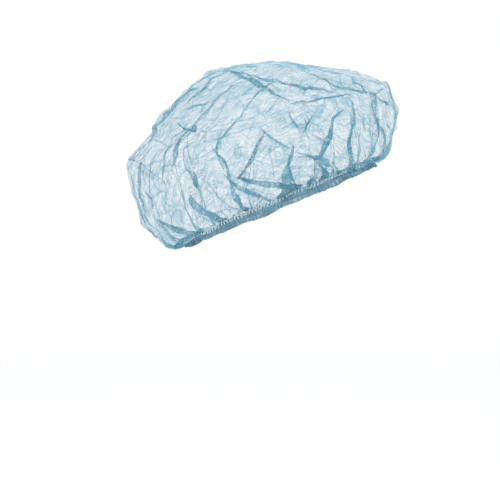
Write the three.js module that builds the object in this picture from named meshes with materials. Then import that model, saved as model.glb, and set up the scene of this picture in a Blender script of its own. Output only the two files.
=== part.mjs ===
// A disposable hairnet: a bouffant mob cap of thin nonwoven cloth, in the form it has on a head.
//
// Millimetres, +Z up, the face towards -Y. The origin is the middle of the head opening.
// Around the cap a place is given by its turn, in degrees: 0 at the forehead, 90 at the wearer's
// right ear, 180 at the nape. Up the cap it is given by its rise: 0 at the mouth, 1 at the crown's middle.

import * as THREE from 'three';

// ---------------------------------------------------------------- driving dimensions
const CLOTH = 1.0;             // thickness of every cloth wall
const GAP = 0.3;               // kept between neighbouring pieces
const ROUNDNESS = 0.94;        // exponent of the loops round the head: 1 is an ellipse, less is squarer

const HEM_FRONT = { y: -86, z: 39 };
const HEM_BACK = { y: 84, z: -37 };
const HEM_HALF_WIDTH = 77;

const ELASTIC_HEIGHT = 2.4;
const ELASTIC_THICKNESS = 1.2;

const FRILL_HEIGHT = 5;
const FRILL_FLARE = 2.2;       // how far the frill's lower edge stands out
const FRILL_WAVES = 30;
const FRILL_WAVE_DEPTH = 1.5;

const GATHERS = 14;            // soft pleats that the elastic makes round the mouth
const GATHER_DEPTH = 2.6;
const GATHER_REACH = 0.42;     // the rise at which they have died away
const GATHER_ROOT = 0.06;      // the rise over which they grow out of the smooth mouth
const FOLD_ROOT = 0.1;         // the same for the main folds

const CROWN_COLUMNS = 84;
const CROWN_ROWS = 20;
const ELASTIC_COLUMNS = 72;
const FRILL_COLUMNS = FRILL_WAVES * 6;
const FRILL_ROWS = 2;

// The cap's loops from the mouth to the crown's middle. Each is tilted: it runs from a point above
// the forehead to a point behind the head, and is half_width from the middle plane at its sides,
// where it also stands side_lift above its tilted plane, so that the cloth clears the hem there.
const LOOPS = [
  // rise  front y  front z  back y  back z  half width  side lift
  [0.00, HEM_FRONT.y, HEM_FRONT.z, HEM_BACK.y, HEM_BACK.z, HEM_HALF_WIDTH, 0],
  [0.08, -98.0, 41.0, 97.0, -45.0, 87.0, 9.0],
  [0.20, -105.0, 57.0, 116.0, -36.0, 97.0, 8.0],
  [0.34, -106.0, 76.0, 127.5, -11.0, 103.0, 4.0],
  [0.48, -105.5, 94.5, 138.5, 29.5, 104.0, 1.0],
  [0.62, -98.0, 107.5, 116.5, 60.0, 99.0, 0],
  [0.76, -72.0, 115.5, 93.0, 93.0, 83.0, 0],
  [0.88, -38.0, 123.5, 62.0, 117.5, 55.0, 0],
  [1.00, 10.0, 128.5, 10.0, 128.5, 0.0, 0],
];

// The main folds and dents. Each runs from one place to another with the given width across, and
// stands proud of the cap by its lift, or sinks into it where the lift is negative.
const FOLDS = [
  // name                     turn  rise  to turn  rise  width  lift
  ['long_crown_ridge',        112, 0.88,    80, 0.77,    9,   3.0],
  ['crown_ridge_to_temple',    80, 0.77,    65, 0.59,    9,   3.0],
  ['ridge_over_brow',          67, 0.61,    35, 0.56,    8,   2.4],
  ['band_to_forehead',         40, 0.78,    24, 0.55,    9,   2.4],
  ['dent_above_brow',          62, 0.70,    47, 0.67,   13,  -3.0],
  ['temple_ridge',             68, 0.57,    62, 0.39,    8,   2.6],
  ['temple_wedge',             66, 0.37,    72, 0.08,   10,   3.2],
  ['hollow_before_wedge',      60, 0.34,    62, 0.14,   12,  -3.4],
  ['side_star_up',             91, 0.28,    76, 0.46,    8,   2.6],
  ['side_star_forward',        91, 0.28,    72, 0.08,    9,   3.0],
  ['side_star_down',           91, 0.28,    95, 0.10,    8,   2.6],
  ['side_star_back',           92, 0.30,    97, 0.48,    8,   2.2],
  ['hollow_under_star',        88, 0.14,    82, 0.10,   12,  -3.4],
  ['brow_ridge',               47, 0.43,    50, 0.30,    9,   2.8],
  ['brow_ridge_to_hem',        50, 0.30,    55, 0.10,    8,   2.4],
  ['brow_line',                38, 0.46,    39, 0.18,    8,   2.0],
  ['knot_up',                 107, 0.59,   110, 0.70,    9,   2.4],
  ['knot_down',               107, 0.59,   118, 0.41,    9,   2.8],
  ['behind_ear_sweep',        112, 0.31,   109, 0.09,   10,   3.4],
  ['hollow_behind_ear',       118, 0.20,   116, 0.10,   13,  -3.6],
  ['back_crease',             143, 0.49,   118, 0.35,    8,   2.2],
  ['back_fall',               135, 0.39,   138, 0.28,    9,   2.6],
  ['back_outline_fold',       130, 0.81,   141, 0.66,   10,   3.0],
  ['back_outline_fall',       141, 0.66,   136, 0.50,    9,   2.6],
  ['hollow_over_back',        160, 0.78,   150, 0.66,   14,  -3.6],
  ['forehead_star_up',         24, 0.55,    20, 0.70,    9,   2.8],
  ['forehead_star_forward',    24, 0.55,     1, 0.43,    8,   2.4],
  ['forehead_star_down',       24, 0.55,    12, 0.18,   10,   3.0],
  ['nape_fold',                175, 0.40,   165, 0.14,   10,   2.8],
  ['far_crown_ridge',          205, 0.84,   290, 0.70,    9,   2.8],
  ['far_star_up',              272, 0.34,   284, 0.54,    8,   2.6],
  ['far_star_forward',         272, 0.33,   290, 0.14,    9,   3.0],
  ['far_star_back',            271, 0.34,   258, 0.50,    8,   2.4],
  ['far_hollow',               280, 0.20,   284, 0.10,   12,  -3.2],
  ['far_temple_ridge',         302, 0.62,   300, 0.16,    9,   2.8],
  ['far_brow_ridge',           322, 0.56,   316, 0.20,    9,   2.6],
  ['far_back_sweep',           240, 0.46,   250, 0.10,   10,   3.0],
  ['far_back_fall',            222, 0.56,   226, 0.20,    9,   2.6],
  ['far_outline_fold',         226, 0.80,   212, 0.58,   10,   2.8],
  ['far_forehead_ridge',       342, 0.66,   344, 0.26,    9,   2.6],
];
const FOLD_STEPS = 10;         // places along a fold at which its distance is measured

// ---------------------------------------------------------------- the smooth form
const radians = THREE.MathUtils.degToRad;

/** The loop at a rise, in the columns of LOOPS after the first, on a smooth curve through them. */
function loopAt(rise) {
  let i = 0;
  while (i < LOOPS.length - 2 && rise > LOOPS[i + 1][0]) i += 1;
  const before = LOOPS[Math.max(i - 1, 0)];
  const low = LOOPS[i];
  const high = LOOPS[i + 1];
  const after = LOOPS[Math.min(i + 2, LOOPS.length - 1)];
  const span = high[0] - low[0];
  const t = (rise - low[0]) / span;
  const loop = [];
  for (let k = 1; k < low.length; k += 1) {
    const leave = (high[k] - before[k]) / (high[0] - before[0]) * span;
    const arrive = (after[k] - low[k]) / (after[0] - low[0]) * span;
    const a = 2 * low[k] - 2 * high[k] + leave + arrive;
    const b = -3 * low[k] + 3 * high[k] - 2 * leave - arrive;
    loop.push(((a * t + b) * t + leave) * t + low[k]);
  }
  return loop;
}

/** A point on a tilted loop at a turn in degrees. */
function onLoop([frontY, frontZ, backY, backZ, halfWidth, sideLift], turn) {
  const power = (value) => Math.sign(value) * Math.abs(value) ** ROUNDNESS;
  const forward = power(Math.cos(radians(turn)));
  const sideways = power(Math.sin(radians(turn)));
  return new THREE.Vector3(
    -sideways * halfWidth,
    (frontY + backY) / 2 + forward * (frontY - backY) / 2,
    (frontZ + backZ) / 2 + forward * (frontZ - backZ) / 2 + sideLift * sideways ** 2,
  );
}

const hemLoop = loopAt(0);
const hemUp = new THREE.Vector3(0, HEM_FRONT.z - HEM_BACK.z, HEM_BACK.y - HEM_FRONT.y).normalize();

/** A point beside the hem line: out from it by `out` in the hem's own plane, and up by `up`. */
function besideHem(turn, out, up) {
  const step = 0.5;
  const ahead = onLoop(hemLoop, turn + step).sub(onLoop(hemLoop, turn - step)).normalize();
  const outward = new THREE.Vector3().crossVectors(hemUp, ahead).normalize();
  const point = onLoop(hemLoop, turn);
  if (outward.dot(point) < 0) outward.negate();
  return point.addScaledVector(outward, out).addScaledVector(hemUp, up);
}

// ---------------------------------------------------------------- solids from grids of points
/** Closes rings of points into one solid: ring i joins ring i + 1, and the last joins the first. */
function closedSweep(rings) {
  const vertices = rings.flat();
  const count = rings[0].length;
  const faces = [];
  for (let i = 0; i < rings.length; i += 1) {
    for (let j = 0; j < count; j += 1) {
      const a = i * count + j;
      const b = i * count + (j + 1) % count;
      const c = ((i + 1) % rings.length) * count + (j + 1) % count;
      const d = ((i + 1) % rings.length) * count + j;
      faces.push(a, b, c, a, c, d);
    }
  }
  return solid(vertices, faces);
}

/** Closes a hollow shell, open below: outer and inner rows of points, joined at the mouth. */
function openShell(outerRows, outerTop, innerRows, innerTop) {
  const columns = outerRows[0].length;
  const rows = outerRows.length;
  const vertices = [...outerRows.flat(), outerTop, ...innerRows.flat(), innerTop];
  const innerStart = rows * columns + 1;
  const faces = [];
  for (let j = 0; j < columns; j += 1) {
    const k = (j + 1) % columns;
    for (let i = 0; i < rows - 1; i += 1) {
      const low = i * columns;
      const high = low + columns;
      faces.push(low + j, high + k, low + k, low + j, high + j, high + k);
      const lowIn = innerStart + low;
      const highIn = innerStart + high;
      faces.push(lowIn + j, lowIn + k, highIn + k, lowIn + j, highIn + k, highIn + j);
    }
    const last = (rows - 1) * columns;
    faces.push(last + j, rows * columns, last + k);
    faces.push(innerStart + last + j, innerStart + last + k, innerStart + rows * columns);
    faces.push(j, k, innerStart + k, j, innerStart + k, innerStart + j);
  }
  return solid(vertices, faces);
}

/** A geometry of shared vertices, turned so that its faces point out. */
function solid(vertices, faces) {
  let volume = 0;
  const cross = new THREE.Vector3();
  for (let i = 0; i < faces.length; i += 3) {
    cross.crossVectors(vertices[faces[i + 1]], vertices[faces[i + 2]]);
    volume += vertices[faces[i]].dot(cross);
  }
  const turned = volume < 0 ? faces.slice().reverse() : faces;
  const geometry = new THREE.BufferGeometry().setFromPoints(vertices);
  geometry.setIndex(turned);
  geometry.computeVertexNormals();
  return geometry;
}

// ---------------------------------------------------------------- crown
const foldLines = FOLDS.map(([, turn, rise, toTurn, toRise, width, lift]) => {
  const points = [];
  for (let i = 0; i <= FOLD_STEPS; i += 1) {
    const t = i / FOLD_STEPS;
    points.push(onLoop(loopAt(THREE.MathUtils.lerp(rise, toRise, t)), THREE.MathUtils.lerp(turn, toTurn, t)));
  }
  return { points, width, lift };
});

/** How far the folds move the cloth out at a point of the smooth form: bell-shaped across each fold. */
function foldLift(point) {
  let ridge = 0;
  let dent = 0;
  for (const fold of foldLines) {
    const nearest = Math.min(...fold.points.map((place) => place.distanceToSquared(point)));
    const lift = fold.lift * Math.exp(-nearest / (fold.width / 2) ** 2);
    ridge = Math.max(ridge, lift);
    dent = Math.min(dent, lift);
  }
  return ridge + dent;
}

/** How far the elastic's gathers move the cloth out: uneven pleats that die away upwards. */
function gatherLift(turn, rise) {
  const reach = Math.max(0, 1 - rise / GATHER_REACH);
  const rooted = Math.min(1, rise / GATHER_ROOT);
  const uneven = turn + 5 * Math.sin(radians(3 * turn)) + 3 * Math.sin(radians(5 * turn));
  return GATHER_DEPTH * rooted * reach * Math.cos(radians(GATHERS * uneven));
}

/** The way out of the smooth form at a place, from short steps to each side of it. */
function wayOut(turn, rise) {
  const step = 0.01;
  const below = onLoop(loopAt(Math.max(rise - step, 0)), turn);
  const above = onLoop(loopAt(Math.min(rise + step, 1)), turn);
  const loop = loopAt(Math.min(rise, 1 - step));
  const across = onLoop(loop, turn + 1).sub(onLoop(loop, turn - 1));
  return new THREE.Vector3().crossVectors(above.sub(below), across).normalize();
}

/** A point of the crown's outer face. */
function crownPoint(turn, rise) {
  const point = onLoop(loopAt(rise), turn);
  const lift = foldLift(point) * Math.min(1, rise / FOLD_ROOT) + gatherLift(turn, rise);
  point.addScaledVector(wayOut(turn, rise), lift);
  return point.addScaledVector(hemUp, ELASTIC_HEIGHT / 2 + GAP);
}

function crown() {
  const outer = [];
  for (let i = 0; i < CROWN_ROWS; i += 1) {
    const rise = i / CROWN_ROWS;
    const ring = [];
    for (let j = 0; j < CROWN_COLUMNS; j += 1) ring.push(crownPoint(j * 360 / CROWN_COLUMNS, rise));
    outer.push(ring);
  }
  const outerTop = crownPoint(0, 1);
  const at = (i, j) => (i < CROWN_ROWS ? outer[i][(j + CROWN_COLUMNS) % CROWN_COLUMNS] : outerTop);
  const inner = outer.map((ring, i) => ring.map((point, j) => {
    const across = at(i, j + 1).clone().sub(at(i, j - 1));
    const upward = at(i + 1, j).clone().sub(at(Math.max(i - 1, 0), j));
    const inward = new THREE.Vector3().crossVectors(across, upward).normalize();
    return point.clone().addScaledVector(inward, CLOTH);
  }));
  const innerTop = outerTop.clone().addScaledVector(new THREE.Vector3(0, 0, -1), CLOTH);
  return openShell(outer, outerTop, inner, innerTop);
}

// ---------------------------------------------------------------- elastic
function elastic() {
  const half = ELASTIC_HEIGHT / 2;
  const corners = [[0, half], [0, -half], [-ELASTIC_THICKNESS, -half], [-ELASTIC_THICKNESS, half]];
  return closedSweep(corners.map(([out, up]) => {
    const ring = [];
    for (let j = 0; j < ELASTIC_COLUMNS; j += 1) ring.push(besideHem(j * 360 / ELASTIC_COLUMNS, out, up));
    return ring;
  }));
}

// ---------------------------------------------------------------- hem frill
function hemFrill() {
  const top = -ELASTIC_HEIGHT / 2 - GAP;
  const ringAt = (down, inset) => {
    const ring = [];
    for (let j = 0; j < FRILL_COLUMNS; j += 1) {
      const turn = j * 360 / FRILL_COLUMNS;
      const wave = FRILL_WAVE_DEPTH * down * Math.cos(radians(FRILL_WAVES * turn));
      ring.push(besideHem(turn, FRILL_FLARE * down + wave - inset, top - FRILL_HEIGHT * down));
    }
    return ring;
  };
  const rings = [];
  for (let i = 0; i <= FRILL_ROWS; i += 1) rings.push(ringAt(i / FRILL_ROWS, 0));
  for (let i = FRILL_ROWS; i >= 0; i -= 1) rings.push(ringAt(i / FRILL_ROWS, CLOTH));
  return closedSweep(rings);
}

// ---------------------------------------------------------------- the cap
const group = new THREE.Group();

function add(name, geometry, colour, roughness) {
  const material = new THREE.MeshStandardMaterial({ color: colour, roughness, metalness: 0 });
  const mesh = new THREE.Mesh(geometry, material);
  mesh.name = name;
  group.add(mesh);
}

add('crown', crown(), 0x8ec4dc, 0.85);
add('elastic', elastic(), 0xbfe3ec, 0.7);
add('hem_frill', hemFrill(), 0x5b9bc8, 0.85);

export default group;
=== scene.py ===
import math

import bmesh
import bpy
import numpy as np
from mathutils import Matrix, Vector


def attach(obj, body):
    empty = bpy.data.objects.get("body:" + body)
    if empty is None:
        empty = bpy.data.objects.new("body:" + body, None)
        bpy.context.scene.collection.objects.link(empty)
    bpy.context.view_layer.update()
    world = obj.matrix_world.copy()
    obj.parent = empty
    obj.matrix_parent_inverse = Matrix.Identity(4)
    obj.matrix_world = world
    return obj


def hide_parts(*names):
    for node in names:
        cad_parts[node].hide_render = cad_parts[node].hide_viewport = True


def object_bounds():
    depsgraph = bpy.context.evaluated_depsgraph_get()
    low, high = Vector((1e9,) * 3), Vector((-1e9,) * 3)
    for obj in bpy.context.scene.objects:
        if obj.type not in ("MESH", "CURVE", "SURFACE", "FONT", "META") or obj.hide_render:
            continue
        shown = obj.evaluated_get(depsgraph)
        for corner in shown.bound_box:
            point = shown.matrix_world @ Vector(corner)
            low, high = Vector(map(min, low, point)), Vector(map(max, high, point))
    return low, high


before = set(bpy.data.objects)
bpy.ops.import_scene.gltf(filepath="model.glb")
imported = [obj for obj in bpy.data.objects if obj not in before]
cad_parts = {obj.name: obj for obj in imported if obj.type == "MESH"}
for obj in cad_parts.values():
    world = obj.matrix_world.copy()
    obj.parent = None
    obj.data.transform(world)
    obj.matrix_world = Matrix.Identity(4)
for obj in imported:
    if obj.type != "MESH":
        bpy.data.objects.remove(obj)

cad_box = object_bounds()


# ---------------------------------------------------------------- view, light and floor
# The cap is seen from the wearer's right, a little from the front and above, against white.
def aim(thing, at):
    """Turns a light or a camera towards a point."""
    way = np.array(at) - np.array(thing.location)
    flat = math.hypot(way[0], way[1])
    thing.rotation_euler = (math.atan2(flat, -way[2]), 0, math.atan2(way[1], way[0]) - math.pi / 2)


def place_camera():
    low, high = (np.array(corner) for corner in cad_box)
    middle = (low + high) / 2
    turn, height, distance = math.radians(285), math.radians(6), 1.7
    towards = np.array([
        math.sin(turn) * math.cos(height),
        -math.cos(turn) * math.cos(height),
        math.sin(height),
    ])
    lens = bpy.data.cameras.new("view")
    lens.sensor_width = 36
    lens.lens = 132.5
    camera = bpy.data.objects.new("view", lens)
    bpy.context.collection.objects.link(camera)
    target = middle + np.array([-0.0026, 0.0096, -0.0862])
    camera.location = target + distance * towards
    aim(camera, target)
    bpy.context.scene.camera = camera


place_camera()


def soft_light(name, location, size, watts, at=(0, 0, 0.03)):
    lamp = bpy.data.lights.new(name, "AREA")
    lamp.shape = "DISK"
    lamp.size = size
    lamp.energy = watts
    light = bpy.data.objects.new(name, lamp)
    bpy.context.collection.objects.link(light)
    light.location = location
    aim(light, at)


soft_light("key", (-0.9, -0.7, 1.2), 0.6, 9)
soft_light("back", (1.0, 0.5, 1.1), 0.8, 4)

world = bpy.data.worlds.new("studio")
world.use_nodes = True
world.node_tree.nodes["Background"].inputs["Color"].default_value = (1.0, 1.0, 1.0, 1)
world.node_tree.nodes["Background"].inputs["Strength"].default_value = 1.0
bpy.context.scene.world = world
bpy.context.scene.view_settings.view_transform = "Standard"


def lay_floor():
    """A round pale floor well below the cap, which fades into the white of the studio at its rim."""
    radius, depth = 2.2, -0.42
    floor_mesh = bpy.data.meshes.new("floor")
    shape = bmesh.new()
    bmesh.ops.create_circle(shape, cap_ends=True, segments=96, radius=radius)
    bmesh.ops.translate(shape, verts=shape.verts, vec=(0, 0, depth))
    shape.to_mesh(floor_mesh)
    shape.free()
    floor = bpy.data.objects.new("floor", floor_mesh)
    bpy.context.collection.objects.link(floor)
    paint = bpy.data.materials.new("pale_floor")
    paint.use_nodes = True
    nodes, link = paint.node_tree.nodes, paint.node_tree.links.new
    shader = nodes["Principled BSDF"]
    shader.inputs["Base Color"].default_value = (0.86, 0.89, 0.93, 1)
    shader.inputs["Roughness"].default_value = 0.6
    place = nodes.new("ShaderNodeTexCoord")
    distance = nodes.new("ShaderNodeVectorMath")
    distance.operation = "LENGTH"
    fade = nodes.new("ShaderNodeMapRange")
    fade.interpolation_type = "SMOOTHSTEP"
    fade.inputs["From Min"].default_value = radius
    fade.inputs["From Max"].default_value = 0.5
    link(place.outputs["Object"], distance.inputs[0])
    link(distance.outputs["Value"], fade.inputs["Value"])
    link(fade.outputs[0], shader.inputs["Alpha"])
    floor_mesh.materials.append(paint)


lay_floor()


# ---------------------------------------------------------------- crown
# One round of spunbonded nonwoven, thin enough to see through, drawn in by the elastic and puffed
# over the head. It was packed folded flat, so it is crossed by straight creases, and where it has
# more cloth than it needs it lies in flat ribbon folds, three layers deep.

# Shapes are worked out in millimetres and made metres in the meshes.
MM = 0.001

# The cap's loops from the mouth to the crown's middle, as in the CAD part.
LOOPS = np.array([
    # rise  front y front z  back y back z  half width  side lift
    (0.00, -86.0, 39.0, 84.0, -37.0, 77.0, 0.0),
    (0.08, -98.0, 41.0, 97.0, -45.0, 87.0, 9.0),
    (0.20, -105.0, 57.0, 116.0, -36.0, 97.0, 8.0),
    (0.34, -106.0, 76.0, 127.5, -11.0, 103.0, 4.0),
    (0.48, -105.5, 94.5, 138.5, 29.5, 104.0, 1.0),
    (0.62, -98.0, 107.5, 116.5, 60.0, 99.0, 0.0),
    (0.76, -72.0, 115.5, 93.0, 93.0, 83.0, 0.0),
    (0.88, -38.0, 123.5, 62.0, 117.5, 55.0, 0.0),
    (1.00, 10.0, 128.5, 10.0, 128.5, 0.0, 0.0),
])
ROUNDNESS = 0.94        # 1 makes each loop an ellipse, less makes it squarer
ABOVE_ELASTIC = 1.5     # the cloth starts this far above the elastic's middle
hem_up = np.array([0.0, 76.0, 170.0]) / math.hypot(76, 170)


def loop_at(rise):
    """The columns of LOOPS at each rise, on the same smooth curve as the CAD part's."""
    knots = LOOPS[:, 0]
    low = np.clip(np.searchsorted(knots, rise, side="right") - 1, 0, len(knots) - 2)
    before, high, after = np.maximum(low - 1, 0), low + 1, np.minimum(low + 2, len(knots) - 1)
    span = (knots[high] - knots[low])[..., None]
    t = (rise - knots[low])[..., None] / span
    a, b, c, d = (LOOPS[k][..., 1:] for k in (before, low, high, after))
    leave = (c - a) / (knots[high] - knots[before])[..., None] * span
    arrive = (d - b) / (knots[after] - knots[low])[..., None] * span
    return ((((2 * b - 2 * c + leave + arrive) * t - 3 * b + 3 * c - 2 * leave - arrive) * t + leave) * t + b)


def smooth_form(turn, rise):
    """Points of the smooth cap at turns in degrees and rises from 0 to 1."""
    turn, rise = np.broadcast_arrays(np.asarray(turn, float), np.asarray(rise, float))
    loop = loop_at(rise)
    front_y, front_z, back_y, back_z, half, lift = (loop[..., k] for k in range(6))

    def power(v):
        return np.sign(v) * np.abs(v) ** ROUNDNESS

    forward, sideways = power(np.cos(np.radians(turn))), power(np.sin(np.radians(turn)))
    return np.stack([
        -sideways * half,
        (front_y + back_y) / 2 + forward * (front_y - back_y) / 2,
        (front_z + back_z) / 2 + forward * (front_z - back_z) / 2 + lift * sideways ** 2,
    ], -1) + ABOVE_ELASTIC * hem_up


def normals_of(grid):
    """Outward unit normals of a grid of points: rows rise, columns go round."""
    across = np.roll(grid, -1, 1) - np.roll(grid, 1, 1)
    upward = np.gradient(grid, axis=0)
    out = np.cross(upward, across)
    return out / np.maximum(np.linalg.norm(out, axis=-1, keepdims=True), 1e-9)


COLUMNS, ROWS = 640, 152
rows = np.linspace(0, 1, ROWS + 1)[:-1]
turns = np.arange(COLUMNS) * 360 / COLUMNS
TURN, RISE = np.meshgrid(turns, rows)
base = smooth_form(TURN, RISE)
out = normals_of(base)
random = np.random.default_rng(7)


def facets(points, count, tilt, blend, generator):
    """Crumpled cloth: each cell round a random centre is a flat facet with its own slope."""
    centres = smooth_form(generator.uniform(0, 360, count), generator.uniform(0, 1, count) ** 1.25)
    slopes = generator.normal(0, tilt, (count, 3))
    lifts = generator.normal(0, tilt * 4, count)
    flat = points.reshape(-1, 3)
    height = np.empty(len(flat))
    at_once = 8000
    for start in range(0, len(flat), at_once):
        part = flat[start:start + at_once]
        away = part[:, None, :] - centres[None]
        distance = np.linalg.norm(away, axis=-1)
        plane = (away * slopes[None]).sum(-1) + lifts[None]
        nearest = distance.min(1, keepdims=True)
        weight = np.exp(-(distance - nearest) / blend)
        height[start:start + at_once] = (plane * weight).sum(1) / weight.sum(1)
    return height.reshape(points.shape[:-1])


# Large, middling and small facets: how many, how tilted, and how softly they meet.
crumple = facets(base, 80, 0.055, 2.0, random) + facets(base, 400, 0.085, 1.0, random)
crumple += facets(base, 1400, 0.07, 0.4, random)

# How closely the cloth is folded at each point, 0 to 1, for its material, which makes folded cloth denser and
# paints shade into it as a deeper blue; and how free it is of the elastic.
dense = np.zeros_like(RISE)
rooted = np.clip(RISE / 0.05, 0, 1)

# Straight creases, where the cloth stands in a sharp ridge, and hollows, whose lift is negative.
CREASES = [
    # turn, rise, to turn, to rise, width, lift
    (112, 0.88, 80, 0.77, 7, 3.2), (80, 0.77, 65, 0.59, 7, 3.4), (67, 0.61, 35, 0.56, 6, 2.4),
    (40, 0.78, 24, 0.55, 7, 2.4), (68, 0.57, 62, 0.39, 6, 2.6), (66, 0.37, 72, 0.08, 7, 2.8),
    (91, 0.28, 76, 0.46, 5, 2.4), (91, 0.28, 72, 0.08, 6, 2.8), (91, 0.28, 95, 0.10, 5, 2.4),
    (92, 0.30, 97, 0.48, 4, 2.0), (47, 0.43, 50, 0.30, 6, 2.6), (50, 0.30, 55, 0.10, 5, 2.2),
    (38, 0.46, 39, 0.18, 5, 2.0), (107, 0.59, 110, 0.70, 6, 2.2), (107, 0.59, 118, 0.41, 6, 2.6),
    (112, 0.31, 109, 0.09, 7, 3.0), (143, 0.49, 118, 0.35, 4, 2.0), (135, 0.39, 138, 0.28, 5, 2.4),
    (130, 0.81, 141, 0.66, 7, 2.8), (141, 0.66, 136, 0.50, 6, 2.4), (24, 0.55, 20, 0.70, 6, 2.6),
    (24, 0.55, 1, 0.43, 6, 2.4), (24, 0.55, 12, 0.18, 7, 2.8),
    (175, 0.40, 165, 0.14, 7, 2.6),
    (205, 0.84, 290, 0.70, 7, 2.8), (272, 0.34, 284, 0.54, 5, 2.6), (272, 0.33, 290, 0.14, 6, 2.8),
    (271, 0.34, 258, 0.50, 5, 2.4), (302, 0.62, 300, 0.16, 6, 2.8), (322, 0.56, 316, 0.20, 6, 2.6),
    (240, 0.46, 250, 0.10, 7, 2.8), (222, 0.56, 226, 0.20, 6, 2.6), (226, 0.80, 212, 0.58, 7, 2.8),
    (342, 0.66, 344, 0.26, 6, 2.6),
    # the hollows
    (62, 0.70, 47, 0.67, 13, -3.0), (60, 0.34, 62, 0.14, 12, -3.4), (88, 0.14, 82, 0.10, 12, -3.4),
    (118, 0.20, 116, 0.10, 13, -3.6), (160, 0.78, 150, 0.66, 18, -5.0), (280, 0.20, 284, 0.10, 12, -3.2),
    (178, 0.22, 146, 0.20, 24, -5.5),
]


def beside_line(points, outwards, line):
    """Signed distance from a polyline on the cap, how far along it, and the way across it."""
    best = np.full(points.shape[:-1], 1e9)
    signed = np.zeros_like(best)
    along = np.zeros_like(best)
    across = np.zeros_like(points)
    lengths = np.linalg.norm(np.diff(line, axis=0), axis=1)
    starts = np.concatenate([[0], np.cumsum(lengths)])
    for a, b, start, length in zip(line[:-1], line[1:], starts, lengths):
        way = (b - a) / length
        t = np.clip(((points - a) @ way), 0, length)
        gap = points - a - t[..., None] * way
        distance = np.linalg.norm(gap, axis=-1)
        side = np.cross(outwards, way)
        near = distance < best
        best = np.where(near, distance, best)
        signed = np.where(near, np.sign((gap * side).sum(-1)) * distance, signed)
        along = np.where(near, (start + t) / starts[-1], along)
        across = np.where(near[..., None], side, across)
    across /= np.maximum(np.linalg.norm(across, axis=-1, keepdims=True), 1e-9)
    return signed, along, across


def route(places, steps=8):
    """A smooth line on the cap through (turn, rise) places."""
    places = np.array(places, float)
    last = len(places) - 1
    t = np.linspace(0, last, steps * last + 1)
    low = np.minimum(t.astype(int), last - 1)
    part = (t - low)[:, None]
    a, b = places[np.maximum(low - 1, 0)], places[low]
    c, d = places[low + 1], places[np.minimum(low + 2, last)]
    leave, arrive = (c - a) / 2, (d - b) / 2
    cubed = 2 * b - 2 * c + leave + arrive
    squared = cubed * part - 3 * b + 3 * c - 2 * leave - arrive
    spot = (squared * part + leave) * part + b
    return smooth_form(spot[:, 0], spot[:, 1])


ridge = np.zeros_like(RISE)
sunk = np.zeros_like(RISE)
for turn, rise, to_turn, to_rise, width, lift in CREASES:
    line = route([(turn, rise), (to_turn, to_rise)], 10)
    near = (np.abs(base - line.mean(0)) < np.ptp(line, axis=0) / 2 + 25).all(-1)
    signed, along, _ = beside_line(base[near], out[near], line)
    if lift < 0:
        sunk[near] = np.minimum(sunk[near], lift * np.exp(-(signed / (width / 2)) ** 2))
        continue
    taper = np.clip(np.minimum(along, 1 - along) * 6, 0.15, 1)
    ridge[near] = np.maximum(ridge[near], lift * taper * np.exp(-np.abs(signed) / (width / 2)))
    dense[near] = np.maximum(dense[near], 0.6 * taper * np.exp(-(signed / 1.3) ** 2))

form = base + out * ((ridge + sunk + crumple) * rooted)[..., None]

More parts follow.
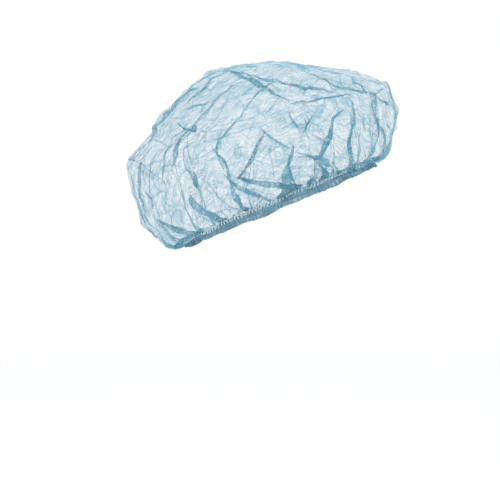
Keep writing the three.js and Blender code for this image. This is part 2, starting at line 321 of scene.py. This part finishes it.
# Flat ribbon folds: the cloth doubles back on itself across each line, three layers deep.
RIBBONS = [
    # width at the start, middle and end, then (turn, rise) places along it
    # the star above the ear
    (2, 5, 9, [(91, 0.28), (88, 0.25), (83, 0.19), (77, 0.12), (72, 0.03)]),
    (2, 5, 3, [(91, 0.28), (94, 0.21), (94, 0.16), (95, 0.10), (95, 0.04)]),
    (3, 4, 1, [(91, 0.28), (88, 0.31), (84, 0.35), (80, 0.41), (77, 0.45), (75, 0.49)]),
    (1, 2, 4, [(97, 0.48), (95, 0.43), (93, 0.39), (93, 0.33), (94, 0.27), (94, 0.21)]),
    # the knot behind it and its fan
    (2, 2, 1, [(107, 0.59), (111, 0.60), (117, 0.61), (126, 0.65)]),
    (3, 4, 2, [(107, 0.59), (111, 0.52), (113, 0.46), (118, 0.41)]),
    (2, 2, 1, [(107, 0.59), (118, 0.56), (121, 0.46), (124, 0.38)]),
    (1, 1, 1, [(107, 0.59), (106, 0.48), (106, 0.39)]),
    (1, 4, 1, [(106, 0.40), (107, 0.34), (109, 0.29)]),
    (1, 2, 1, [(106, 0.72), (117, 0.70), (128, 0.69)]),
    # the sweep behind the ear
    (1, 7, 6, [(112, 0.31), (112, 0.26), (111, 0.21), (109, 0.15), (109, 0.09), (109, 0.03)]),
    (1, 1, 1, [(108, 0.16), (102, 0.10), (95, 0.04)]),
    # the wedge at the temple and the lines above it
    (2, 5, 8, [(66, 0.37), (67, 0.33), (70, 0.25), (72, 0.17), (72, 0.03)]),
    (1, 2, 1, [(68, 0.57), (66, 0.51), (63, 0.43), (62, 0.39)]),
    (1, 2, 1, [(60, 0.50), (59, 0.43), (62, 0.39)]),
    (1, 1, 1, [(66, 0.27), (60, 0.24), (52, 0.22)]),
    (1, 1, 1, [(66, 0.23), (64, 0.15), (61, 0.11)]),
    # the folds at the brow
    (1, 6, 3, [
        (40, 0.48), (45, 0.45), (48, 0.42), (50, 0.33), (53, 0.28), (56, 0.21), (55, 0.13), (54, 0.04)
    ]),
    (1, 3, 2, [(38, 0.46), (38, 0.34), (39, 0.24), (38, 0.15), (34, 0.05)]),
    (1, 2, 5, [(49, 0.20), (47, 0.12), (43, 0.04)]),
    (1, 1, 1, [(36, 0.47), (32, 0.42), (29, 0.34), (24, 0.27)]),
    (1, 2, 3, [(30, 0.20), (28, 0.15), (24, 0.08)]),
    # the ridge over the crown
    (2, 6, 4, [(112, 0.88), (98, 0.86), (88, 0.82), (80, 0.77), (75, 0.71), (70, 0.64), (65, 0.59)]),
    (3, 3, 1, [(67, 0.61), (52, 0.59), (35, 0.56)]),
    (1, 1, 1, [(62, 0.58), (52, 0.55)]),
    (1, 3, 1, [(112, 0.88), (120, 0.83), (124, 0.77), (126, 0.70)]),
    # the star at the forehead
    (2, 6, 3, [(42, 0.82), (40, 0.76), (39, 0.69), (35, 0.62), (24, 0.55)]),
    (1, 3, 1, [(24, 0.55), (25, 0.62), (20, 0.70), (14, 0.76)]),
    (1, 2, 1, [(24, 0.55), (13, 0.57), (0, 0.59)]),
    (2, 4, 2, [(24, 0.55), (21, 0.53), (13, 0.47), (1, 0.43)]),
    (2, 5, 6, [(24, 0.55), (23, 0.43), (20, 0.36), (16, 0.28), (11, 0.20), (12, 0.04)]),
    (1, 2, 1, [(9, 0.44), (8, 0.36), (5, 0.28), (6, 0.18)]),
    # the peak at the back and the folds that fall from it
    (1, 1, 1, [(176, 0.51), (143, 0.49), (130, 0.44), (123, 0.39), (118, 0.35)]),
    (1, 2, 1, [(176, 0.52), (146, 0.52), (135, 0.52)]),
    (2, 6, 3, [(130, 0.81), (141, 0.75), (141, 0.68), (140, 0.63), (137, 0.58), (136, 0.50)]),
    (2, 5, 2, [(136, 0.50), (139, 0.43), (143, 0.36), (145, 0.28)]),
    (1, 2, 1, [(135, 0.39), (134, 0.33), (138, 0.30)]),
    (1, 2, 3, [(138, 0.28), (141, 0.20), (143, 0.12), (146, 0.05)]),
    (2, 6, 6, [(137, 0.26), (131, 0.19), (128, 0.12), (128, 0.04)]),
    (1, 3, 3, [(176, 0.44), (168, 0.32), (162, 0.20), (158, 0.04)]),
    # the wearer's left side
    (1, 5, 8, [(271, 0.36), (276, 0.31), (282, 0.24), (288, 0.13)]),
    (1, 2, 3, [(270, 0.36), (268, 0.28), (269, 0.06)]),
    (1, 3, 1, [(271, 0.37), (263, 0.46), (254, 0.58)]),
    (1, 2, 1, [(272, 0.38), (279, 0.48), (284, 0.60)]),
    (1, 3, 3, [(205, 0.88), (245, 0.86), (275, 0.78), (296, 0.66)]),
    (1, 3, 6, [(300, 0.62), (303, 0.46), (298, 0.30), (300, 0.05)]),
    (1, 2, 3, [(322, 0.60), (318, 0.44), (321, 0.30), (316, 0.05)]),
    (2, 3, 1, [(242, 0.62), (238, 0.50), (240, 0.36)]),
    (1, 6, 3, [(238, 0.38), (244, 0.28), (250, 0.19), (256, 0.05)]),
    (1, 2, 2, [(224, 0.60), (221, 0.44), (226, 0.30), (222, 0.05)]),
    (1, 3, 1, [(236, 0.84), (226, 0.76), (216, 0.62), (212, 0.52)]),
    (1, 3, 2, [(344, 0.68), (340, 0.52), (345, 0.36), (342, 0.05)]),
    (1, 2, 2, [(195, 0.66), (198, 0.48), (192, 0.32), (197, 0.05)]),
    (1, 2, 1, [(242, 0.62), (252, 0.72), (268, 0.80)]),
    (1, 1, 1, [(242, 0.62), (228, 0.60), (205, 0.54)]),
]


def fold_back(d, width, reach):
    """How far cloth at a distance d from a ribbon's middle is drawn across it."""
    return -(width * 0.62 + 1.9) * np.tanh(d / 1.3) * np.exp(-(d / reach) ** 2)


def lay_ribbon(grid, outwards, start, middle, end, places):
    """Folds the cloth back across a line. A ribbon that meets the elastic keeps its width there."""
    held_start = 1.0 if places[0][1] == 0 else 0.0
    held_end = 1.0 if places[-1][1] < 0.07 else 0.0
    grows_over, dies_over, pulls_within = 4, 9, 14
    line = route(places)
    near = (np.abs(base - line.mean(0)) < np.ptp(line, axis=0) / 2 + 20).all(-1)
    signed, along, across = beside_line(base[near], outwards[near], line)
    uneven = random.uniform(0.65, 1.3, 9)
    width = np.interp(along, (0, 0.5, 1), (start, middle, end))
    width *= np.interp(along, np.linspace(0, 1, 9), uneven)
    whole = np.linalg.norm(np.diff(line, axis=0), axis=1).sum()
    grown = along * whole / grows_over + held_start
    left = (1 - along) * whole / dies_over + held_end
    strength = np.clip(np.minimum(grown, left), 0, 1)
    beyond = np.exp(-(np.abs(signed) / pulls_within) ** 4)
    reach = 5 + width
    pull = fold_back(signed, width, reach) * strength * beyond
    grid[near] += across * pull[..., None]
    layer = 0.7 * np.tanh(signed / 1.6) * np.exp(-(signed / reach) ** 2) * strength
    grid[near] += outwards[near] * layer[..., None]
    half = 1.4 + width * 0.5
    edge = np.exp(-((signed + half * 0.6) / (half * 0.45)) ** 2)
    body = np.exp(-(signed / half) ** 4)
    doubled = strength * (0.5 * body + 0.5 * edge) * np.clip(0.35 + width / 4, 0, 1)
    dense[near] = np.maximum(dense[near], doubled)


for start, middle, end, places in RIBBONS:
    lay_ribbon(form, out, start, middle, end, places)

# The elastic gathers the cloth's edge to a third of its length. Close to it the cloth stands in small
# uneven waves, and from them narrow pleats run up the cap, to many heights.
WAVES, PLEATS = 92, 104
wave_steps = random.uniform(0.5, 1.5, WAVES)
wave_knots = np.concatenate([[0], np.cumsum(wave_steps)]) / wave_steps.sum() * 360
wave_heights = random.uniform(0.5, 1.5, WAVES)
wave_reach = random.uniform(0.04, 0.16, WAVES)
wave_phase = np.interp(turns, wave_knots, np.arange(WAVES + 1))
wave_of = np.minimum(wave_phase.astype(int), WAVES - 1)
wave = np.sin(wave_phase * 2 * math.pi)[None] * (1.55 * wave_heights[wave_of])[None]
wave = wave * np.exp(-(RISE / wave_reach[wave_of][None]) ** 1.3) * np.clip(RISE / 0.006, 0.35, 1)
form += out * wave[..., None]
# The hollows of the waves are made denser and painted a deeper blue, as shade.
dense = np.maximum(dense, 0.4 * np.clip(-wave / 1.6, 0, 1))
pleat_turns = np.cumsum(random.uniform(0.4, 1.6, PLEATS))
pleat_turns *= 360 / pleat_turns[-1]
for turn in pleat_turns:
    height = 0.06 + 0.44 * random.random() ** 2.6
    lean, bow = random.normal(0, 3.5), random.normal(0, 1.5)
    places = [(turn, 0.0), (turn + lean * 0.3 + bow, height * 0.5), (turn + lean, height)]
    width = random.uniform(1.2, 3.4)
    lay_ribbon(form, out, width, width * 0.6, 0.3, places)
# Just above the elastic the crowded cloth is made denser, and painted a deeper blue as shade.
dense = np.maximum(dense, 0.5 * np.clip(1 - RISE / 0.03, 0, 1))

# Where each point of the cloth lay in its flat round cut, so that the fibres follow the cloth.
FLAT_WIDTH = 0.497      # across the round cut, without the frill
CUT_RADIUS = FLAT_WIDTH / 2
row_steps = np.linalg.norm(np.diff(base, axis=0, append=smooth_form(turns, 1)[None]), axis=-1)
from_top = np.cumsum(row_steps[::-1], axis=0)[::-1]
cut_radius = CUT_RADIUS * from_top / from_top[:1]
cut = np.stack([
    -np.sin(np.radians(TURN)) * cut_radius, -np.cos(np.radians(TURN)) * cut_radius, 0 * TURN
], -1)


def crown_mesh():
    top = smooth_form(0, 1)[None] + np.array([[0, 0, crumple[-1].mean()]])
    points = np.concatenate([form.reshape(-1, 3), top]) * MM
    faces = []
    for i in range(ROWS - 1):
        low = i * COLUMNS + np.arange(COLUMNS)
        nxt = i * COLUMNS + (np.arange(COLUMNS) + 1) % COLUMNS
        faces += np.stack([nxt, low, low + COLUMNS, nxt + COLUMNS], 1).tolist()
    last = (ROWS - 1) * COLUMNS
    faces += [[last + (j + 1) % COLUMNS, last + j, ROWS * COLUMNS] for j in range(COLUMNS)]
    mesh = bpy.data.meshes.new("crown_cloth")
    mesh.from_pydata(points.tolist(), [], faces)
    mesh.polygons.foreach_set("use_smooth", [True] * len(mesh.polygons))
    mesh.attributes.new("creased", "FLOAT", "POINT").data.foreach_set("value", np.append(dense.ravel(), 0))
    laid = np.concatenate([cut.reshape(-1, 3), np.zeros((1, 3))])
    mesh.attributes.new("cut", "FLOAT_VECTOR", "POINT").data.foreach_set("vector", laid.ravel())
    return mesh


crown = bpy.data.objects.new("crown_cloth", crown_mesh())
bpy.context.collection.objects.link(crown)


def nonwoven(name, colour, ground, fibre_share, crease_share):
    """Sheer spunbonded cloth: long curled strands on a thin ground, crossed by fine creases."""
    material = bpy.data.materials.new(name)
    material.use_nodes = True
    tree = material.node_tree
    tree.nodes.clear()
    new, link = tree.nodes.new, tree.links.new

    def maths(operation, first, second):
        node = new("ShaderNodeMath")
        node.operation = operation
        for socket, value in zip(node.inputs, (first, second)):
            if isinstance(value, (int, float)):
                socket.default_value = value
            else:
                link(value, socket)
        return node.outputs[0]

    def between(value, low, high, to_low=0.0, to_high=1.0):
        node = new("ShaderNodeMapRange")
        node.inputs["From Min"].default_value = low
        node.inputs["From Max"].default_value = high
        node.inputs["To Min"].default_value = to_low
        node.inputs["To Max"].default_value = to_high
        link(value, node.inputs["Value"])
        return node.outputs[0]

    def noise(at, scale, detail=2.0):
        node = new("ShaderNodeTexNoise")
        node.inputs["Scale"].default_value = scale
        node.inputs["Detail"].default_value = detail
        link(at, node.inputs["Vector"])
        return node

    def wavering(at, scale, amount):
        """The same places, pushed about by a slow noise."""
        centred = new("ShaderNodeVectorMath")
        centred.operation = "SUBTRACT"
        centred.inputs[1].default_value = (0.5, 0.5, 0.5)
        link(noise(at, scale).outputs["Color"], centred.inputs[0])
        moved = new("ShaderNodeVectorMath")
        moved.operation = "MULTIPLY_ADD"
        moved.inputs[1].default_value = (amount, amount, amount)
        link(centred.outputs[0], moved.inputs[0])
        link(at, moved.inputs[2])
        return moved.outputs[0]

    laid = new("ShaderNodeAttribute")
    laid.attribute_name = "cut"
    flat = laid.outputs["Vector"]
    curled = wavering(wavering(flat, 40, 0.022), 160, 0.005)

    def strands(turned, across, along, thickness):
        """Long lines in one direction, where a stretched noise crosses its middle value."""
        mapping = new("ShaderNodeMapping")
        mapping.inputs["Rotation"].default_value = (0, 0, math.radians(turned))
        mapping.inputs["Scale"].default_value = (across, along, 1)
        link(curled, mapping.inputs["Vector"])
        off = maths("ABSOLUTE", maths("SUBTRACT", noise(mapping.outputs[0], 1, 1).outputs["Fac"], 0.5), 0)
        return between(off, thickness, thickness * 0.3)

    coarse = maths("MAXIMUM", strands(12, 120, 22, 0.030), strands(-38, 110, 20, 0.028))
    coarse = maths("MAXIMUM", coarse, strands(71, 105, 20, 0.026))
    fine = maths("MAXIMUM", strands(30, 330, 80, 0.05), strands(-70, 310, 80, 0.05))
    web = maths("ADD", maths("MULTIPLY", coarse, 0.62), maths("MULTIPLY", fine, 0.38))

    def creases(scale, waver, thickness, low, high):
        """Edges between the facets of crumpled cloth, strong in some places and gone in others."""
        cells = new("ShaderNodeTexVoronoi")
        cells.feature = "DISTANCE_TO_EDGE"
        cells.inputs["Scale"].default_value = scale
        link(wavering(flat, scale * 0.8, waver), cells.inputs["Vector"])
        edge = between(cells.outputs["Distance"], thickness, thickness * 0.2)
        return maths("MULTIPLY", edge, between(noise(flat, scale * 0.6).outputs["Fac"], low, high))

    wrinkled = maths("MAXIMUM", creases(30, 0.016, 0.030, 0.40, 0.58), creases(70, 0.008, 0.040, 0.47, 0.64))
    # The cloth is drawn tight over the top, in long fine wrinkles from back to front.
    mapping = new("ShaderNodeMapping")
    mapping.inputs["Rotation"].default_value = (0, 0, math.radians(-7))
    mapping.inputs["Scale"].default_value = (190, 14, 1)
    link(wavering(flat, 25, 0.02), mapping.inputs["Vector"])
    off = maths("ABSOLUTE", maths("SUBTRACT", noise(mapping.outputs[0], 1, 2).outputs["Fac"], 0.5), 0)
    middle = new("ShaderNodeVectorMath")
    middle.operation = "LENGTH"
    link(flat, middle.inputs[0])
    drawn = maths("MULTIPLY", between(off, 0.05, 0.012), between(middle.outputs["Value"], 0.13, 0.08))
    clouds = between(noise(flat, 26, 4).outputs["Fac"], 0.32, 0.68, 0.7, 1.28)
    single = maths("MULTIPLY", maths("ADD", maths("MULTIPLY", web, fibre_share), ground), clouds)
    lines = maths("MAXIMUM", maths("MULTIPLY", wrinkled, 0.42), maths("MULTIPLY", drawn, 0.28))
    creased = new("ShaderNodeAttribute")
    creased.attribute_name = "creased"
    grain = maths("ADD", maths("MULTIPLY", web, 0.5), 0.75)
    folded = maths("MULTIPLY", maths("MULTIPLY", creased.outputs["Fac"], crease_share), grain)
    solidity = maths("MINIMUM", maths("ADD", maths("ADD", single, lines), folded), 0.97)
    # Bond points and lone strands are paler, and cloth in folds and hollows gets painted shade: a deeper
    # blue.
    deep_and_fold_shade = tuple(part * 0.80 for part in colour)
    pale = tuple(part + (1 - part) * 0.08 for part in colour)
    tint = new("ShaderNodeValToRGB")
    tint.color_ramp.elements[0].color = (*pale, 1)
    tint.color_ramp.elements[1].color = (*deep_and_fold_shade, 1)
    mottled = between(noise(flat, 55, 3).outputs["Fac"], 0.3, 0.7, 0.0, 0.55)
    # Random mottle, plus painted shade where the cloth is folded.
    link(maths("ADD", mottled, maths("MULTIPLY", creased.outputs["Fac"], 0.4)), tint.inputs["Fac"])
    relief = new("ShaderNodeBump")
    relief.inputs["Strength"].default_value = 0.35
    relief.inputs["Distance"].default_value = 0.0003
    link(maths("ADD", web, wrinkled), relief.inputs["Height"])
    front = new("ShaderNodeBsdfPrincipled")
    front.inputs["Sheen Weight"].default_value = 0.15
    front.inputs["Sheen Roughness"].default_value = 0.45
    front.inputs["Specular IOR Level"].default_value = 0.3
    link(tint.outputs["Color"], front.inputs["Base Color"])
    link(between(web, 0.0, 1.0, 0.72, 0.50), front.inputs["Roughness"])
    link(relief.outputs["Normal"], front.inputs["Normal"])
    through = new("ShaderNodeBsdfTranslucent")
    link(tint.outputs["Color"], through.inputs["Color"])
    cloth = new("ShaderNodeMixShader")
    cloth.inputs[0].default_value = 0.4
    link(front.outputs[0], cloth.inputs[1])
    link(through.outputs[0], cloth.inputs[2])
    clear = new("ShaderNodeBsdfTransparent")
    sheer = new("ShaderNodeMixShader")
    link(solidity, sheer.inputs[0])
    link(clear.outputs[0], sheer.inputs[1])
    link(cloth.outputs[0], sheer.inputs[2])
    link(sheer.outputs[0], new("ShaderNodeOutputMaterial").inputs["Surface"])
    return material


crown.data.materials.append(nonwoven("sheer_nonwoven", (0.118, 0.405, 0.540), 0.09, 0.37, 0.43))
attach(crown, "root")
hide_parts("crown")


# ---------------------------------------------------------------- elastic and its stitches
# A thin elastic lies round the cap a few millimetres above the cloth's edge. An overlock seam holds
# it: pale threads that wrap the elastic and cross on its face in a close chain of small loops.
ELASTIC_HALF_HEIGHT = 1.2
ELASTIC_COLUMNS = 1500
THREAD_OUT = 1.7        # the threads' middle line is this far outside the elastic's


def hem_places(count):
    """Points along the hem line, the way out of the cap there, and how far along each is, 0 to 1."""
    turn = np.arange(count) * 360 / count
    line = smooth_form(turn, 0) - ABOVE_ELASTIC * hem_up
    ahead = np.roll(line, -1, 0) - np.roll(line, 1, 0)
    ahead /= np.linalg.norm(ahead, axis=1, keepdims=True)
    outward = np.cross(hem_up, ahead)
    outward *= np.sign((outward * line).sum(1, keepdims=True))
    scallop = 0.5 * np.sin(np.radians(turn * 11 + 40)) + 0.4 * np.sin(np.radians(turn * 17))
    return line + scallop[:, None] * hem_up, outward, turn / 360


def ring_mesh(name, rings):
    """A closed band from rings of points; the last ring joins the first."""
    count = len(rings[0])
    faces = []
    for i in range(len(rings)):
        a = i * count + np.arange(count)
        b = i * count + (np.arange(count) + 1) % count
        up = ((i + 1) % len(rings) - i) * count
        faces += np.stack([a, b, b + up, a + up], 1).tolist()
    mesh = bpy.data.meshes.new(name)
    mesh.from_pydata((np.concatenate(rings) * MM).tolist(), [], faces)
    shape = bmesh.new()
    shape.from_mesh(mesh)
    bmesh.ops.recalc_face_normals(shape, faces=shape.faces)
    shape.to_mesh(mesh)
    shape.free()
    mesh.polygons.foreach_set("use_smooth", [True] * len(mesh.polygons))
    piece = bpy.data.objects.new(name, mesh)
    bpy.context.collection.objects.link(piece)
    return piece


def note_cut(mesh, share, beyond):
    """The hem pieces' places in the flat cut: shares of the way round, and millimetres past the elastic."""
    radius = CUT_RADIUS + np.asarray(beyond) * MM
    turn = share * 2 * math.pi
    laid = np.stack([-np.sin(turn) * radius, -np.cos(turn) * radius, 0 * radius], -1)
    mesh.attributes.new("cut", "FLOAT_VECTOR", "POINT").data.foreach_set("vector", laid.ravel())


line, outward, share = hem_places(ELASTIC_COLUMNS)
crimp = 0.35 * np.sin(share * 2 * math.pi * 190) + 0.2 * np.sin(share * 2 * math.pi * 83)
profile = [
    # millimetres outwards, and half heights up
    (0.0, 1.0), (0.35, 0.6), (0.4, 0.0), (0.35, -0.6), (0.0, -1.0), (-0.5, -0.9), (-0.6, 0.0), (-0.5, 0.9)
]
elastic = ring_mesh("elastic_band", [
    line + outward * (across + crimp)[:, None] + hem_up * (up * ELASTIC_HALF_HEIGHT)
    for across, up in profile
])
note_cut(elastic.data, np.tile(share, len(profile)), np.repeat([up for _, up in profile], ELASTIC_COLUMNS))
rubber = nonwoven("covered_elastic", (0.19, 0.38, 0.48), 0.80, 0.2, 0.0)
elastic.data.materials.append(rubber)
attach(elastic, "root")
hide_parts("elastic")


def thread_tree():
    """Geometry Nodes: a thread wound round a guide curve, in loops of a given pitch."""
    tree = bpy.data.node_groups.new("overlock_thread", "GeometryNodeTree")
    face = tree.interface
    face.new_socket("Guide", in_out="INPUT", socket_type="NodeSocketGeometry")
    for name, value in (("Loops", 220.0), ("Points", 2640.0), ("Height", 0.0016), ("Depth", 0.0008),
                        ("Thread radius", 0.00016), ("Phase", 0.0), ("Unevenness", 0.0004)):
        socket = face.new_socket(name, in_out="INPUT", socket_type="NodeSocketFloat")
        socket.default_value = value
    face.new_socket("Seed", in_out="INPUT", socket_type="NodeSocketInt")
    face.new_socket("Up", in_out="INPUT", socket_type="NodeSocketVector")
    face.new_socket("Material", in_out="INPUT", socket_type="NodeSocketMaterial")
    face.new_socket("Thread", in_out="OUTPUT", socket_type="NodeSocketGeometry")
    new, link = tree.nodes.new, tree.links.new
    given = new("NodeGroupInput").outputs
    result = new("NodeGroupOutput").inputs

    def maths(operation, first, second=0.0):
        node = new("ShaderNodeMath")
        node.operation = operation
        for socket, value in zip(node.inputs, (first, second)):
            if isinstance(value, (int, float)):
                socket.default_value = value
            else:
                link(value, socket)
        return node.outputs[0]

    def vectors(operation, first, second):
        node = new("ShaderNodeVectorMath")
        node.operation = operation
        link(first, node.inputs[0])
        link(second, node.inputs["Scale"] if operation == "SCALE" else node.inputs[1])
        return node.outputs[0]

    guide = new("GeometryNodeResampleCurve")
    link(given["Guide"], guide.inputs["Curve"])
    link(given["Points"], guide.inputs["Count"])
    along = new("GeometryNodeSplineParameter").outputs["Factor"]
    ahead = new("GeometryNodeInputTangent").outputs[0]
    wound_on = maths("MULTIPLY", maths("MULTIPLY", along, given["Loops"]), 2 * math.pi)
    angle = maths("ADD", wound_on, given["Phase"])
    outward = vectors("CROSS_PRODUCT", ahead, given["Up"])
    rise = vectors("SCALE", given["Up"], maths("MULTIPLY", maths("SINE", angle), given["Height"]))
    depth = vectors("SCALE", outward, maths("MULTIPLY", maths("COSINE", angle), given["Depth"]))
    wander = new("FunctionNodeRandomValue")
    wander.data_type = "FLOAT_VECTOR"
    wander.inputs["Min"].default_value = (-1, -1, -1)
    wander.inputs["Max"].default_value = (1, 1, 1)
    link(given["Seed"], wander.inputs["Seed"])
    loose = vectors("SCALE", wander.outputs["Value"], given["Unevenness"])
    wound = new("GeometryNodeSetPosition")
    link(guide.outputs[0], wound.inputs["Geometry"])
    link(vectors("ADD", vectors("ADD", rise, depth), loose), wound.inputs["Offset"])
    section = new("GeometryNodeCurvePrimitiveCircle")
    section.inputs["Resolution"].default_value = 5
    link(given["Thread radius"], section.inputs["Radius"])
    tube = new("GeometryNodeCurveToMesh")
    link(wound.outputs[0], tube.inputs["Curve"])
    link(section.outputs["Curve"], tube.inputs["Profile Curve"])
    real = new("GeometryNodeRealizeInstances")
    link(tube.outputs[0], real.inputs[0])
    coloured = new("GeometryNodeSetMaterial")
    link(real.outputs[0], coloured.inputs["Geometry"])
    link(given["Material"], coloured.inputs["Material"])
    link(coloured.outputs[0], result["Thread"])
    return tree


def thread_material():
    material = bpy.data.materials.new("overlock_thread")
    material.use_nodes = True
    nodes, link = material.node_tree.nodes, material.node_tree.links.new
    shader = nodes["Principled BSDF"]
    shader.inputs["Roughness"].default_value = 0.6
    shader.inputs["Sheen Weight"].default_value = 0.3
    place = nodes.new("ShaderNodeTexCoord")
    noise = nodes.new("ShaderNodeTexNoise")
    noise.inputs["Scale"].default_value = 300
    link(place.outputs["Object"], noise.inputs["Vector"])
    tint = nodes.new("ShaderNodeValToRGB")
    tint.color_ramp.elements[0].color = (0.58, 0.77, 0.84, 1)
    tint.color_ramp.elements[1].color = (0.86, 0.94, 0.96, 1)
    link(noise.outputs["Fac"], tint.inputs["Fac"])
    link(tint.outputs["Color"], shader.inputs["Base Color"])
    return material


def wind_thread(name, tree, values):
    """One thread as a plain mesh: the node tree run on a guide curve along the elastic."""
    places, outwards, _ = hem_places(720)
    guide = bpy.data.curves.new(name, "CURVE")
    guide.dimensions = "3D"
    spline = guide.splines.new("POLY")
    spline.points.add(len(places) - 1)
    places = (places + outwards * THREAD_OUT) * MM
    spline.points.foreach_set("co", np.c_[places, np.ones(len(places))].ravel())
    spline.use_cyclic_u = True
    maker = bpy.data.objects.new(name + "_maker", guide)
    bpy.context.collection.objects.link(maker)
    modifier = maker.modifiers.new("thread", "NODES")
    modifier.node_group = tree
    for item in tree.interface.items_tree:
        if item.in_out == "INPUT" and item.name in values:
            modifier[item.identifier] = values[item.name]
    ready = maker.evaluated_get(bpy.context.evaluated_depsgraph_get())
    mesh = bpy.data.meshes.new_from_object(ready)
    bpy.data.objects.remove(maker)
    piece = bpy.data.objects.new(name, mesh)
    bpy.context.collection.objects.link(piece)
    return piece


tree = thread_tree()
thread = thread_material()
THREADS = [
    # name, loops, phase, seed, height
    ("overlock_thread_a", 150.0, 0.0, 3, 0.0016),
    ("overlock_thread_b", 187.0, 2.6, 8, 0.0012),
]
for name, loops, phase, seed, height in THREADS:
    piece = wind_thread(name, tree, {
        "Loops": loops, "Points": 2400.0, "Height": height, "Depth": 0.0010,
        "Thread radius": 0.00032, "Phase": phase, "Unevenness": 0.0004, "Seed": seed,
        "Up": hem_up.tolist(), "Material": thread,
    })
    piece.data.polygons.foreach_set("use_smooth", [True] * len(piece.data.polygons))
    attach(piece, "root")

# ---------------------------------------------------------------- hem frill
# The cloth's own cut edge below the elastic. Its whole length is gathered into a third of it, so it
# stands in close overlapping ruffles, nearly solid blue, with a ragged lower edge.
FRILL_COLUMNS, FRILL_ROWS = 2880, 9
RUFFLES = 120
FRILL_CUT = 5.5         # how much of the flat round lies beyond the elastic
TUCK = 1.1              # how far the frill's top edge stands above the elastic's lower edge
line, outward, share = hem_places(FRILL_COLUMNS)
ahead = np.cross(outward, hem_up)
ruffle_steps = random.uniform(0.45, 1.7, RUFFLES)
ruffle_knots = np.concatenate([[0], np.cumsum(ruffle_steps)]) / ruffle_steps.sum()
ruffle_phase = np.interp(share, ruffle_knots, np.arange(RUFFLES + 1)) * 2 * math.pi


def wander(count, low, high):
    """A smooth closed run of chance values along the hem."""
    values = random.uniform(low, high, count)
    at = share * count
    first = at.astype(int) % count
    ease = (1 - np.cos((at % 1) * math.pi)) / 2
    return values[first] * (1 - ease) + values[(first + 1) % count] * ease


depth_of = wander(90, 0.45, 1.35)
drop_of = 4.7 + wander(34, -1.0, 1.1) + wander(110, -0.45, 0.45)
sway_of = wander(24, -0.9, 0.9)
rings = []
for row in range(FRILL_ROWS):
    down = row / (FRILL_ROWS - 1)
    ruffle = (0.45 + 1.0 * down) * depth_of
    flare = 0.5 + 1.5 * math.sin(down * 1.9) + sway_of * down
    rings.append(
        line
        + outward * (flare + ruffle * np.sin(ruffle_phase))[:, None]
        + ahead * (0.9 * ruffle * np.sin(2 * ruffle_phase + 0.4))[:, None]
        - hem_up * (ELASTIC_HALF_HEIGHT - TUCK + drop_of * down)[:, None]
    )


def frill_mesh():
    faces = []
    for i in range(FRILL_ROWS - 1):
        a = i * FRILL_COLUMNS + np.arange(FRILL_COLUMNS)
        b = i * FRILL_COLUMNS + (np.arange(FRILL_COLUMNS) + 1) % FRILL_COLUMNS
        faces += np.stack([b, a, a + FRILL_COLUMNS, b + FRILL_COLUMNS], 1).tolist()
    mesh = bpy.data.meshes.new("hem_frill_cloth")
    mesh.from_pydata((np.concatenate(rings) * MM).tolist(), [], faces)
    mesh.polygons.foreach_set("use_smooth", [True] * len(mesh.polygons))
    edge = np.repeat(np.linspace(0.2, 0.6, FRILL_ROWS), FRILL_COLUMNS)
    mesh.attributes.new("creased", "FLOAT", "POINT").data.foreach_set("value", edge)
    beyond = np.repeat(np.linspace(0, FRILL_CUT, FRILL_ROWS), FRILL_COLUMNS)
    note_cut(mesh, np.tile(share, FRILL_ROWS), beyond)
    piece = bpy.data.objects.new("hem_frill_cloth", mesh)
    bpy.context.collection.objects.link(piece)
    return piece


frill = frill_mesh()
frill.data.materials.append(nonwoven("gathered_nonwoven", (0.165, 0.355, 0.47), 0.86, 0.2, 0.2))
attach(frill, "root")
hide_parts("hem_frill")
